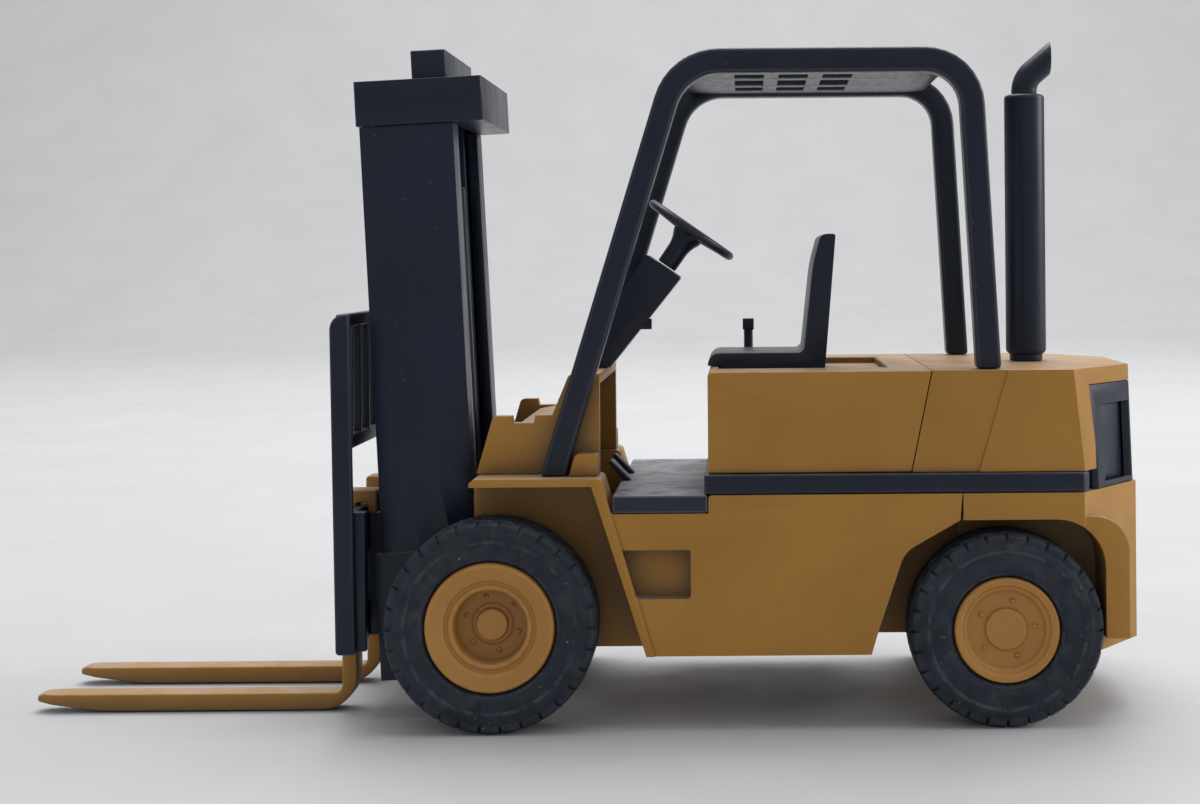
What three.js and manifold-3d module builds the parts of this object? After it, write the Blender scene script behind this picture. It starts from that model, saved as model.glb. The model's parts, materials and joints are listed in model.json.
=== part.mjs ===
// Die-cast toy forklift truck at 1:25, as separate named pieces. Millimetres, +Z up.
// The forks point to -X, the driver's left is -Y. The origin is on the ground, under the
// middle of the bounding box. Left-hand pieces (-Y) come first in each pair.

import * as THREE from 'three';
import { mergeVertices } from 'three/addons/utils/BufferGeometryUtils.js';
import Module from 'manifold-3d';

const wasm = await Module();
wasm.setup();

// ---------------------------------------------------------------- driving dimensions

const SEAM = 0.1; // between fixed pieces that meet
const PLAY = 0.3; // around anything that slides or turns

const FRONT_WHEEL = { x: -11.1, z: 13.5, radius: 13.5, inner: 14.5, outer: 22.5, rim: 8.35 };
const REAR_WHEEL = { x: 54.4, z: 12.4, radius: 12.4, inner: 13.6, outer: 21.0, rim: 6.8 };
const AXLE_RADIUS = 1.5;

const BODY_HALF = 20.2; // side faces of the lower body
const BODY_BOTTOM = 9.4;
const BODY_TOP = 29.8;
const FENDER_TOP = 32.05;
const FENDER_HALF = 20.5;
const COUNTERWEIGHT_SEAM_X = 49.0;
const TAIL_X = 73.5;
const TAIL_HALF = 8.5; // half width of the flat tail between the two corner chamfers
const CHAMFER_X = 64.4;
const ARCH = { rear: 67.1, top: 26.4, inner: 13.0 };

const BELT = { x0: 16.1, bottom: 29.95, top: 32.4, half: 20.3 };
const FLOOR = { x0: 4.4, x1: 16.5, bottom: 27.6, top: 29.85 };
const HOOD = { x0: 16.6, bottom: 32.5, top: 45.4, half: 19.6 };
const HOOD_SEAM = { low: 42.6, high: 45.3 };
const COWL_HALF = 19.85;
const GRILLE = { front: 65.3, half: 17.1, bottom: 29.9, top: 43.2, tail: 8.6 };
const DASH = { half: 15.1, top: 45.0, back: 2.4 };

const GUARD_BAR = 3.0;
const GUARD_INNER = 15.3; // inner faces of the two hoops
const GUARD_TOP = 86.9;

const STEER = { x: 14.0, z: 63.75, lean: THREE.MathUtils.degToRad(35), radius: 6.25 };
const EXHAUST_X = 60.35;

const CHEEK = { inner: 12.95, outer: 14.1 };
const MAST_PIVOT = { x: -16.5, z: 12.0, radius: 1.2 };
const MAST_LEAN = THREE.MathUtils.degToRad(2.7); // forward lean at rest
// Mast pieces use the mast's own frame: origin on the pivot, Z along the rails.
const OUTER_RAIL = { front: -9.5, rear: 2.8, half: 12.4, depth: 4.2, bottom: -6.5, top: 66.0 };
const RAIL_WEB = 1.2;
const RAIL_FLANGE = 1.4;
const INNER_RAIL = { front: -7.8, rear: 1.1, half: 10.9, depth: 3.9, bottom: -5.0, top: 71.8 };
const LIFT_X = -0.2;
const TILT_EYE = { x: 4.7, z: 16.0 };
const TILT_MOUNT = { x: 4.45, z: 22.5 }; // in the truck's frame, on the bulkhead
const TILT_Y = 11.0;

const CARRIAGE = { front: -30.5, rear: -29.3, half: 16.5, upperTop: 27.4, lowerBottom: 9.5 };
const FORK = { tip: -73.5, shankFront: -32.6, shankRear: -30.6, y: 7.65, width: 3.6 };

const SIDES = [
  [-1, 'left'],
  [1, 'right'],
];

// ---------------------------------------------------------------- geometry helpers

const ROUND_STEPS = 8;

// Closed outline from corners [a, b] or [a, b, reach]; reach is how far the rounding of
// that corner runs back along both of its sides. Each rounding is a circular arc.
function outline(corners) {
  const shape = new THREE.Shape();
  const count = corners.length;
  corners.forEach(([a, b, reach = 0], i) => {
    const corner = new THREE.Vector2(a, b);
    const [pa, pb] = corners[(i + count - 1) % count];
    const [na, nb] = corners[(i + 1) % count];
    const enter = new THREE.Vector2(pa, pb).sub(corner).setLength(reach).add(corner);
    const leave = new THREE.Vector2(na, nb).sub(corner).setLength(reach).add(corner);
    if (i === 0) shape.moveTo(enter.x, enter.y);
    else shape.lineTo(enter.x, enter.y);
    if (reach === 0) return;
    const weight = enter.distanceTo(leave) / (2 * reach);
    for (let step = 1; step <= ROUND_STEPS; step += 1) {
      const t = step / ROUND_STEPS;
      const [e, c, l] = [(1 - t) ** 2, 2 * weight * t * (1 - t), t ** 2];
      const a0 = (e * enter.x + c * corner.x + l * leave.x) / (e + c + l);
      const b0 = (e * enter.y + c * corner.y + l * leave.y) / (e + c + l);
      shape.lineTo(a0, b0);
    }
  });
  shape.closePath();
  return shape;
}

function extrude(corners, depth) {
  return new THREE.ExtrudeGeometry(outline(corners), { depth, bevelEnabled: false });
}

// Outline in (x, z), swept along Y.
function sideSlab(corners, y0, y1) {
  return extrude(corners, y1 - y0).rotateX(Math.PI / 2).translate(0, y1, 0);
}

// Outline in (x, y), swept along Z.
function planSlab(corners, z0, z1) {
  return extrude(corners, z1 - z0).translate(0, 0, z0);
}

// Convex plan outlines at two heights, with as many corners each, joined by flat sides.
function loft(low, z0, high, z1) {
  const count = low.length;
  const rings = [...low.map(([x, y]) => [x, y, z0]), ...high.map(([x, y]) => [x, y, z1])];
  const index = [];
  for (let i = 0; i < count; i += 1) {
    const next = (i + 1) % count;
    index.push(i, next, count + next, i, count + next, count + i);
    if (i > 0 && next > 0) index.push(0, next, i, count, count + i, count + next);
  }
  const geometry = new THREE.BufferGeometry();
  geometry.setAttribute('position', new THREE.Float32BufferAttribute(rings.flat(), 3));
  geometry.setIndex(index);
  return geometry;
}

function block([x0, x1], [y0, y1], [z0, z1]) {
  const box = new THREE.BoxGeometry(x1 - x0, y1 - y0, z1 - z0);
  return box.translate((x0 + x1) / 2, (y0 + y1) / 2, (z0 + z1) / 2);
}

function rodY(x, z, radius, y0, y1, sides = 20) {
  const rod = new THREE.CylinderGeometry(radius, radius, y1 - y0, sides);
  return rod.translate(x, (y0 + y1) / 2, z);
}

function rodZ(x, y, radius, z0, z1, sides = 20) {
  const rod = new THREE.CylinderGeometry(radius, radius, z1 - z0, sides);
  return rod.rotateX(Math.PI / 2).translate(x, y, (z0 + z1) / 2);
}

// Round bar between two points of the plane at height y.
function rodBetween([x0, z0], [x1, z1], y, radius, sides = 20) {
  const length = Math.hypot(x1 - x0, z1 - z0);
  const rod = new THREE.CylinderGeometry(radius, radius, length, sides);
  rod.rotateX(Math.PI / 2).rotateY(Math.atan2(x1 - x0, z1 - z0));
  return rod.translate((x0 + x1) / 2, y, (z0 + z1) / 2);
}

// Ordered span of y for the side at sign -1 or 1.
function span(sign, inner, outer) {
  return sign < 0 ? [-outer, -inner] : [inner, outer];
}

// Profile mirrored about the X axis, for plan outlines that are the same left and right.
function mirrored(corners) {
  const other = corners.map(([a, b, reach = 0]) => [a, -b, reach]).reverse();
  return [...corners, ...other];
}

// A lathe turned about Y; its profile is (radius, y).
function turned(profile, segments = 28) {
  const points = profile.map(([radius, y]) => new THREE.Vector2(radius, y));
  return new THREE.LatheGeometry(points, segments);
}

// Signed volume, to find a mesh whose faces point inwards.
function signedVolume(position, index) {
  const [a, b, c] = [new THREE.Vector3(), new THREE.Vector3(), new THREE.Vector3()];
  let volume = 0;
  for (let i = 0; i < index.length; i += 3) {
    a.fromBufferAttribute(position, index[i]);
    b.fromBufferAttribute(position, index[i + 1]);
    c.fromBufferAttribute(position, index[i + 2]);
    volume += a.dot(b.cross(c)) / 6;
  }
  return volume;
}

// A closed manifold from a geometry; one that is already a manifold passes through.
function solid(geometry) {
  if (geometry.getMesh) return geometry;
  const bare = geometry.clone();
  bare.deleteAttribute('normal');
  bare.deleteAttribute('uv');
  const merged = mergeVertices(bare, 1e-4);
  const kept = [];
  const index = merged.index.array;
  for (let i = 0; i < index.length; i += 3) {
    const [a, b, c] = [index[i], index[i + 1], index[i + 2]];
    if (a !== b && b !== c && c !== a) kept.push(a, b, c);
  }
  if (signedVolume(merged.attributes.position, kept) < 0) kept.reverse();
  const mesh = new wasm.Mesh({
    numProp: 3,
    vertProperties: new Float32Array(merged.attributes.position.array),
    triVerts: new Uint32Array(kept),
  });
  return new wasm.Manifold(mesh);
}

// Joins the first list of shapes and cuts the second list out of it.
function carve(joined, cuts = []) {
  let result = joined.map(solid).reduce((a, b) => a.add(b));
  for (const cut of cuts) result = result.subtract(solid(cut));
  return result;
}

// The same, as a geometry.
function shaped(joined, cuts = []) {
  const { vertProperties, triVerts } = carve(joined, cuts).getMesh();
  const geometry = new THREE.BufferGeometry();
  geometry.setAttribute('position', new THREE.BufferAttribute(vertProperties, 3));
  geometry.setIndex(new THREE.BufferAttribute(triVerts, 1));
  geometry.computeVertexNormals();
  return geometry;
}

// ---------------------------------------------------------------- finishes

const FINISHES = {
  paint: { color: 0xb98a45, roughness: 0.42, metalness: 0.0 },
  wheelPaint: { color: 0xc08334, roughness: 0.45, metalness: 0.0 },
  plastic: { color: 0x1f2430, roughness: 0.5, metalness: 0.0 },
  floorMat: { color: 0x6b7076, roughness: 0.8, metalness: 0.0 },
  rubber: { color: 0x2a2c30, roughness: 0.85, metalness: 0.0 },
  steel: { color: 0xb4b7ba, roughness: 0.35, metalness: 1.0 },
};

function finish(name) {
  return new THREE.MeshStandardMaterial({ ...FINISHES[name], flatShading: true });
}

const truck = new THREE.Group();
const mast = new THREE.Group();
mast.position.set(MAST_PIVOT.x, 0, MAST_PIVOT.z);
mast.rotation.y = -MAST_LEAN;
truck.add(mast);

function add(name, finishName, geometry, parent = truck) {
  const mesh = new THREE.Mesh(geometry, finish(finishName));
  mesh.name = name;
  parent.add(mesh);
}

// ---------------------------------------------------------------- lower body

const SCREW_X = [20.5, 32.0];
const CAVITY = { x0: 15.8, x1: 36.3, half: 18.2, top: 25.8 };

function chassisBody() {
  const main = sideSlab([
    [8.7, BODY_BOTTOM], [37.2, BODY_BOTTOM], [38.2, 12.7], [41.5, 22.4, 1.5],
    [48.6, ARCH.top],
    [COUNTERWEIGHT_SEAM_X - SEAM, BODY_TOP], [FLOOR.x1 + SEAM, BODY_TOP, 0.5],
    [FLOOR.x1 + SEAM, FLOOR.bottom - SEAM], [3.6, FLOOR.bottom - SEAM],
  ], -BODY_HALF, BODY_HALF);
  const spine = block([36.0, COUNTERWEIGHT_SEAM_X - SEAM], [-12.6, 12.6], [10.6, 27.0]);
  const joined = [main, spine];
  const cuts = [block([CAVITY.x0, CAVITY.x1], [-CAVITY.half, CAVITY.half], [9, CAVITY.top])];
  for (const [sign] of SIDES) {
    const fender = [
      [-13.8, 31.05], [-13.8, 31.6], [-13.2, FENDER_TOP], [2.9, FENDER_TOP, 0.6],
      [9.7, BODY_BOTTOM], [8.6, BODY_BOTTOM], [1.75, 31.05],
    ];
    joined.push(sideSlab(fender, ...span(sign, CHEEK.inner, FENDER_HALF)));
    const cheek = [
      [-14.1, 31.2], [-14.1, 20.0, 1.5], [-13.0, 15.4, 0.6], [-17.0, 15.4, 1.5],
      [-19.6, 13.0, 1.2], [-19.6, 10.4, 1.2], [-17.0, 8.6, 1.2], [-13.0, 8.6, 1.5],
      [-10.0, BODY_BOTTOM], [8.7, BODY_BOTTOM], [2.3, 31.2],
    ];
    joined.push(sideSlab(cheek, ...span(sign, CHEEK.inner, CHEEK.outer)));
    joined.push(block([4.7, 6.5], span(sign, TILT_Y - 1.4, TILT_Y + 1.4), [21.2, 23.8]));
    const pocket = [[5.6, 22.9, 0.2], [14.3, 22.9, 0.3], [14.3, 16.65, 0.5], [7.4, 16.65, 0.5]];
    cuts.push(sideSlab(pocket, ...span(sign, BODY_HALF - 2.5, BODY_HALF + 1)));
    cuts.push(rodY(FRONT_WHEEL.x, FRONT_WHEEL.z, AXLE_RADIUS + PLAY, ...span(sign, 12, 15)));
    cuts.push(rodY(MAST_PIVOT.x, MAST_PIVOT.z, MAST_PIVOT.radius + SEAM, ...span(sign, 12, 15)));
  }
  const hollow = carve(joined, cuts);
  const bosses = SCREW_X.map((x) => rodZ(x, 0, 2.6, 10.8, CAVITY.top + 0.5));
  const threads = SCREW_X.map((x) => rodZ(x, 0, 1.0, 10.0, 18.0, 12));
  return shaped([hollow, ...bosses], threads);
}

add('chassis_body', 'paint', chassisBody());

const PLATE = { x0: 16.0, x1: 36.1, half: 18.0, bottom: 9.4, top: 10.6 };
const platePlan = mirrored([[PLATE.x0, -PLATE.half], [PLATE.x1, -PLATE.half]]);
const screwHeads = SCREW_X.map((x) => rodZ(x, 0, 2.0, 9.0, 10.0, 16));
const screwHoles = SCREW_X.map((x) => rodZ(x, 0, 1.1, 9.0, 11.0, 12));
const plate = planSlab(platePlan, PLATE.bottom, PLATE.top);
add('base_plate', 'plastic', shaped([plate], [...screwHeads, ...screwHoles]));

SCREW_X.forEach((x, i) => {
  const head = rodZ(x, 0, 1.8, 9.3, 9.9, 16);
  const shank = rodZ(x, 0, 0.85, 9.9, 17.0, 12);
  const slot = block([x - 2, x + 2], [-0.25, 0.25], [9.2, 9.6]);
  add(`base_screw_${['front', 'rear'][i]}`, 'steel', shaped([head, shank], [slot]));
});

// Plan of the tail: full width to the chamfers, then in to the flat tail.
function tailPlan(x0, half, inset = 0) {
  return mirrored([[x0, -half], [CHAMFER_X, -half], [TAIL_X - inset, -TAIL_HALF]]);
}

function counterweight() {
  const joined = [planSlab(tailPlan(COUNTERWEIGHT_SEAM_X, BODY_HALF), 9.0, BODY_TOP)];
  const cuts = [block([48, 59.6], [-14, 14], [8, 17.2])];
  for (const [sign] of SIDES) {
    const well = [[40, 0], [ARCH.rear, 0], [ARCH.rear, ARCH.top, 6.2], [40, ARCH.top]];
    cuts.push(sideSlab(well, ...span(sign, ARCH.inner, 30)));
  }
  const hollowed = carve(joined, cuts);
  const flares = SIDES.map(([sign]) => sideSlab([
    [61.5, 26.7], [70.1, 26.7, 4.4], [70.1, 11.2], [ARCH.rear, 11.2],
    [ARCH.rear, ARCH.top, 6.2], [61.5, ARCH.top],
  ], ...span(sign, 14.6, 20.0)));
  return shaped([hollowed, ...flares]);
}

add('counterweight', 'paint', counterweight());
const beltPlan = tailPlan(BELT.x0, BELT.half, 0.3);
const beltNotch = block([GRILLE.front - SEAM, 80], [-BODY_HALF, BODY_HALF], [29, 33]);
const belt = shaped([planSlab(beltPlan, BELT.bottom, BELT.top)], [beltNotch]);
add('belt_band', 'plastic', belt);

const floorPlan = mirrored([[FLOOR.x0, -BELT.half], [FLOOR.x1, -BELT.half]]);
add('floor_plate', 'floorMat', planSlab(floorPlan, FLOOR.bottom, FLOOR.top));

// ---------------------------------------------------------------- hood, cowl and grille

const TRAY = { x0: 17.9, x1: 40.2, half: 12.2, floor: 44.5 };

function engineHood() {
  const shell = sideSlab([
    [HOOD.x0, HOOD.bottom], [HOOD_SEAM.low - SEAM, HOOD.bottom],
    [HOOD_SEAM.high - SEAM, HOOD.top], [HOOD.x0, HOOD.top, 0.6],
  ], -HOOD.half, HOOD.half);
  const inside = block([18.3, 40.5], [-18, 18], [HOOD.bottom - 1, 43.3]);
  const tray = block([TRAY.x0, TRAY.x1], [-TRAY.half, TRAY.half], [TRAY.floor, 47]);
  return shaped([shell], [inside, tray]);
}

add('engine_hood', 'paint', engineHood());

// Plan of the cowl's tail at a height: level sides, chamfers, and a rear that leans.
function tailCorners(x0, z, inset = 0) {
  const drop = HOOD.top - z;
  const slope = inset * 0.42;
  return mirrored([
    [x0, inset - COWL_HALF], [63.2 + 0.105 * drop - slope, inset - COWL_HALF],
    [72.55 + 0.035 * drop - inset, slope - GRILLE.tail],
  ]);
}

function tail(x0, z0, z1, inset) {
  return loft(tailCorners(x0, z0, inset), z0, tailCorners(x0, z1, inset), z1);
}

function rearCowl() {
  const shoulder = 58.0;
  const front = sideSlab([
    [HOOD_SEAM.low, HOOD.bottom], [shoulder, HOOD.bottom], [shoulder, HOOD.top],
    [HOOD_SEAM.high, HOOD.top],
  ], -HOOD.half, HOOD.half);
  const flank = sideSlab([
    [51.1, HOOD.bottom], [shoulder, HOOD.bottom], [shoulder, HOOD.top], [54.9, HOOD.top],
  ], -COWL_HALF, COWL_HALF);
  const grilleSeat = block(
    [GRILLE.front - SEAM, 80],
    [-GRILLE.half - SEAM, GRILLE.half + SEAM],
    [29, GRILLE.top + SEAM],
  );
  const inside = block([47.5, 60.6], [-18, 18], [HOOD.bottom - 1, 43.0]);
  return shaped([front, flank, tail(57.5, HOOD.bottom, HOOD.top)], [inside, grilleSeat]);
}

add('rear_cowl', 'paint', rearCowl());

const GRILLE_WALL = 0.8;
const WINDOW = { bottom: 30.5, top: 40.6, inner: 8.9, outer: 15.4 };

function radiatorGrille() {
  const { front, half, bottom, top } = GRILLE;
  const hood = carve([tail(64.0, bottom, top)], [block([60, front], [-30, 30], [20, 50])]);
  const sides = SIDES.map(([sign]) => block([60, 80], span(sign, half, 30), [20, 50]));
  const inside = tail(60.0, bottom - 1, top + 1, GRILLE_WALL);
  const rearWindow = block([70, 76], [-7.4, 7.4], [WINDOW.bottom, WINDOW.top]);
  const cuts = [...sides, inside, rearWindow];
  for (const [sign] of SIDES) {
    const window = [[60, WINDOW.inner], [80, WINDOW.inner], [80, WINDOW.outer], [60, WINDOW.outer]];
    const plan = window.map(([x, y]) => [x, sign * y]);
    cuts.push(planSlab(plan, WINDOW.bottom, WINDOW.top));
  }
  return shaped([hood], cuts);
}

add('radiator_grille', 'plastic', radiatorGrille());

function grilleCore() {
  const { front, half, bottom, top } = GRILLE;
  const [z0, z1] = [bottom + SEAM, top - SEAM];
  const inset = GRILLE_WALL + 0.2;
  const cuts = [block([50, front + SEAM], [-30, 30], [20, 50])];
  for (const [sign] of SIDES) cuts.push(block([60, 80], span(sign, half - 0.4, 30), [20, 50]));
  for (let z = WINDOW.bottom + 0.9; z < WINDOW.top - 0.6; z += 1.6) {
    cuts.push(block([70.8, 80], [-7.0, 7.0], [z, z + 0.8]));
  }
  return shaped([tail(60.0, z0, z1, inset)], cuts);
}

add('grille_core', 'plastic', grilleCore());

// ---------------------------------------------------------------- dash, pedals, steering

function dashCowl() {
  const sideFace = [
    [-13.6, FENDER_TOP + SEAM], [-11.4, 39.6, 0.5], [-9.0, 39.6], [-8.8, 38.7], [-6.1, 38.7],
    [-5.9, 39.7], [-3.7, 39.7], [-1.5, DASH.top, 0.5], [DASH.back, DASH.top],
    [DASH.back, FENDER_TOP + SEAM],
  ];
  const panel = [
    [-8.6, FENDER_TOP + SEAM], [-8.6, 38.2], [-5.9, 38.7], [-3.7, 39.7],
    [-1.5, DASH.top, 0.5], [DASH.back, DASH.top], [DASH.back, FENDER_TOP + SEAM],
  ];
  const hollow = [
    [-7.4, 30], [-7.4, 37.2], [-5.0, 37.7], [-2.9, 38.9], [-0.8, DASH.top - 1.3],
    [DASH.back + 1, DASH.top - 1.3], [DASH.back + 1, 30],
  ];
  const step = [
    [-1.3, FENDER_TOP + SEAM], [-0.5, 34.9, 0.4], [DASH.back, 34.9, 0.4],
    [DASH.back, FENDER_TOP + SEAM],
  ];
  const joined = [sideSlab(panel, -DASH.half, DASH.half)];
  for (const [sign] of SIDES) {
    joined.push(sideSlab(sideFace, ...span(sign, 13.3, DASH.half)));
    joined.push(sideSlab(step, ...span(sign, 15.0, 18.0)));
  }
  return shaped(joined, [sideSlab(hollow, -13.7, 13.7)]);
}

add('dash_cowl', 'paint', dashCowl());

const PEDALS = { brake_pedal: [-5.2, -2.2], accelerator_pedal: [2.6, 4.8] };
for (const [name, [y0, y1]] of Object.entries(PEDALS)) {
  const side = [[2.7, 32.3], [3.1, 32.7], [5.8, FLOOR.top + SEAM], [4.7, FLOOR.top + SEAM]];
  add(name, 'plastic', sideSlab(side, y0, y1));
}

const columnSide = [
  [7.9, 60.6, 0.4], [12.7, 57.3, 0.4], [2.9, DASH.top + SEAM], [-1.7, DASH.top + SEAM],
];
const columnSwitch = block([7.0, 8.5], [-0.9, 0.9], [50.2, 51.6]);
add('steering_column', 'plastic', shaped([sideSlab(columnSide, -2.6, 2.6), columnSwitch]));

function steeringWheel() {
  const rim = new THREE.TorusGeometry(STEER.radius, 0.7, 8, 32);
  const hub = rodZ(0, 0, 2.0, -1.6, 0.3, 16);
  const shaft = rodZ(0, 0, 1.3, -5.85, -0.6, 16);
  const joined = [rim, hub, shaft];
  for (let i = 0; i < 3; i += 1) {
    const spoke = block([0.5, STEER.radius], [-0.6, 0.6], [-0.35, 0.35]);
    joined.push(spoke.rotateZ(((4 * i + 1) * Math.PI) / 6));
  }
  return shaped(joined);
}

const steering = new THREE.Group();
steering.position.set(STEER.x, 0, STEER.z);
steering.rotation.y = STEER.lean;
truck.add(steering);
add('steering_wheel', 'plastic', steeringWheel(), steering);

const seatSide = [
  [18.2, TRAY.floor + SEAM], [18.2, HOOD.top + SEAM], [16.4, HOOD.top + SEAM],
  [16.4, 47.2, 1.6], [29.3, 47.2, 0.8], [30.6, 59.0, 1.5], [31.7, 63.1, 0.8],
  [33.7, 63.1, 0.4], [32.1, TRAY.floor + SEAM],
];
add('seat', 'plastic', sideSlab(seatSide, -8.0, 8.0));

const leverStalk = rodZ(21.9, 10.8, 0.65, TRAY.floor + SEAM, 49.8, 12);
const leverKnob = block([21.1, 22.7], [10.0, 11.6], [49.6, 51.2]);
const leverFoot = block([20.4, 23.4], [9.9, 11.7], [TRAY.floor + SEAM, 45.6]);
add('control_lever', 'plastic', shaped([leverStalk, leverKnob, leverFoot]));

// ---------------------------------------------------------------- overhead guard

// One line of the hoop's front leg and rear post: x at a height.
const legX = (z, offset) => -5.0 + offset + 0.3096 * (z - 32.15);
const postX = (z, offset) => 54.3 - offset - 0.054 * (z - 45.5);

function guardHoop(sign) {
  const top = GUARD_TOP;
  const under = GUARD_TOP - 3.2;
  const legWidth = GUARD_BAR * 1.06;
  return sideSlab([
    [legX(32.15, 0), 32.15], [legX(top, 0), top, 6.4], [postX(top, 0), top, 7.3],
    [postX(45.5, 0), 45.5], [postX(45.5, GUARD_BAR + 0.15), 45.5],
    [postX(under, GUARD_BAR + 0.15), under, 4.3], [legX(under, legWidth), under, 4.3],
    [legX(32.15, legWidth), 32.15],
  ], ...span(sign, GUARD_INNER, GUARD_INNER + GUARD_BAR));
}

for (const [sign, side] of SIDES) add(`guard_hoop_${side}`, 'plastic', guardHoop(sign));

const SLOTS = {
  x: [20.3, 26.2, 32.1],
  length: 3.9,
  y: [[-10.9, -6.2], [-3.4, 3.4], [6.2, 10.9]],
};

function guardRoof() {
  const half = GUARD_INNER - SEAM;
  const panel = block([14.5, 47.0], [-half, half], [84.15, 85.4]);
  const frontBar = block([13.6, 16.4], [-half, half], [84.15, 86.0]);
  const rearBar = block([45.2, 47.8], [-half, half], [84.15, 86.0]);
  const cuts = [];
  for (const x of SLOTS.x) {
    for (const y of SLOTS.y) cuts.push(block([x, x + SLOTS.length], y, [82, 87]));
  }
  return shaped([panel, frontBar, rearBar], cuts);
}

add('guard_roof', 'plastic', guardRoof());

// ---------------------------------------------------------------- exhaust

const mufflerProfile = [
  [0, 45.5], [2.0, 45.5], [2.5, 45.9], [2.75, 46.6], [2.75, 81.9], [2.55, 82.2], [0, 82.2],
];
const muffler = turned(mufflerProfile, 24).rotateX(Math.PI / 2).translate(EXHAUST_X, 0, 0);
add('exhaust_muffler', 'plastic', shaped([muffler]));

function exhaustTip() {
  const bend = [EXHAUST_X, 84.0];
  const lean = THREE.MathUtils.degToRad(50);
  const end = [bend[0] + 8 * Math.sin(lean), bend[1] + 8 * Math.cos(lean)];
  const stem = rodZ(EXHAUST_X, 0, 1.75, 82.3, 84.0);
  const knee = new THREE.SphereGeometry(1.75, 16, 8).translate(bend[0], 0, bend[1]);
  const spout = rodBetween(bend, end, 0, 1.75);
  const bore = rodBetween(bend, end, 0, 1.3, 16);
  const cutOff = block([63.9, 72], [-4, 4], [80, 96]);
  return shaped([stem, knee, spout], [bore, cutOff]);
}

add('exhaust_tip', 'plastic', exhaustTip());

// ---------------------------------------------------------------- wheels

// Front rim: a deep dish with a ring, six lugs and a small cap, over a blind bore.
function frontRim() {
  const profile = [
    [0, 18.0], [1.6, 18.0], [1.6, 15.3], [8.25, 15.3], [8.25, 21.9], [7.7, 22.2], [5.9, 22.0],
    [5.6, 21.3], [4.6, 20.6], [4.6, 18.6], [2.0, 18.6], [2.0, 19.4], [1.6, 19.7], [0, 19.7],
  ];
  const lugs = [];
  for (let i = 0; i < 6; i += 1) {
    const angle = (i * Math.PI) / 3;
    lugs.push(rodY(3.5 * Math.cos(angle), 3.5 * Math.sin(angle), 0.5, 18.4, 19.1, 6));
  }
  return shaped([turned(profile), ...lugs]);
}

// Rear rim: a shallow dish and a wide cap.
function rearRim() {
  const profile = [
    [0, 18.0], [1.6, 18.0], [1.6, 14.3], [6.7, 14.3], [6.7, 20.5], [6.3, 20.8], [5.6, 20.6],
    [5.3, 19.4], [2.6, 19.0], [2.6, 20.2], [2.2, 20.5], [0, 20.5],
  ];
  const lugs = [];
  for (let i = 0; i < 5; i += 1) {
    const angle = (i * 2 * Math.PI) / 5;
    lugs.push(rodY(3.9 * Math.cos(angle), 3.9 * Math.sin(angle), 0.5, 18.8, 19.8, 6));
  }
  return shaped([turned(profile), ...lugs]);
}

function tyre({ radius, inner, outer, rim }) {
  const shoulder = 0.9;
  return turned([
    [rim, inner], [radius - 0.8, inner], [radius, inner + shoulder],
    [radius, outer - shoulder], [radius - 0.8, outer], [rim, outer], [rim, inner],
  ], 36);
}

const axleEnd = 17.9;
const frontAxle = rodY(FRONT_WHEEL.x, FRONT_WHEEL.z, AXLE_RADIUS, -axleEnd, axleEnd);
add('front_axle', 'steel', frontAxle);

function placeWheel(geometry, wheel, sign) {
  if (sign < 0) geometry.rotateZ(Math.PI);
  return geometry.translate(wheel.x, 0, wheel.z);
}

for (const [sign, side] of SIDES) {
  add(`front_rim_${side}`, 'wheelPaint', placeWheel(frontRim(), FRONT_WHEEL, sign));
  add(`front_tyre_${side}`, 'rubber', placeWheel(shaped([tyre(FRONT_WHEEL)]), FRONT_WHEEL, sign));
  add(`rear_rim_${side}`, 'wheelPaint', placeWheel(rearRim(), REAR_WHEEL, sign));
  add(`rear_tyre_${side}`, 'rubber', placeWheel(shaped([tyre(REAR_WHEEL)]), REAR_WHEEL, sign));
}

// The rear axle turns in a carrier that hangs from the counterweight.
function rearAxleCarrier() {
  const { x, z } = REAR_WHEEL;
  const joined = [block([x - 2.3, x + 2.3], [-12.4, 12.4], [z - 2.9, 17.1])];
  return shaped(joined, [rodY(x, z, AXLE_RADIUS + PLAY, -13, 13)]);
}

add('rear_axle_carrier', 'plastic', rearAxleCarrier());
const rearAxle = rodY(REAR_WHEEL.x, REAR_WHEEL.z, AXLE_RADIUS, -axleEnd, axleEnd);
add('rear_axle', 'steel', rearAxle);

// ---------------------------------------------------------------- mast

for (const [sign, side] of SIDES) {
  const pin = rodY(MAST_PIVOT.x, MAST_PIVOT.z, MAST_PIVOT.radius, ...span(sign, 11.3, 14.3));
  add(`mast_pin_${side}`, 'steel', pin);
}

// C-shaped rail, open towards the middle of the mast.
function channel({ front, rear, half, depth, bottom, top }, sign) {
  const corners = [
    [front, half], [rear, half], [rear, half - depth], [rear - RAIL_FLANGE, half - depth],
    [rear - RAIL_FLANGE, half - RAIL_WEB], [front + RAIL_FLANGE, half - RAIL_WEB],
    [front + RAIL_FLANGE, half - depth], [front, half - depth],
  ];
  return planSlab(corners.map(([x, y]) => [x, sign * y]), bottom, top);
}

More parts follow.
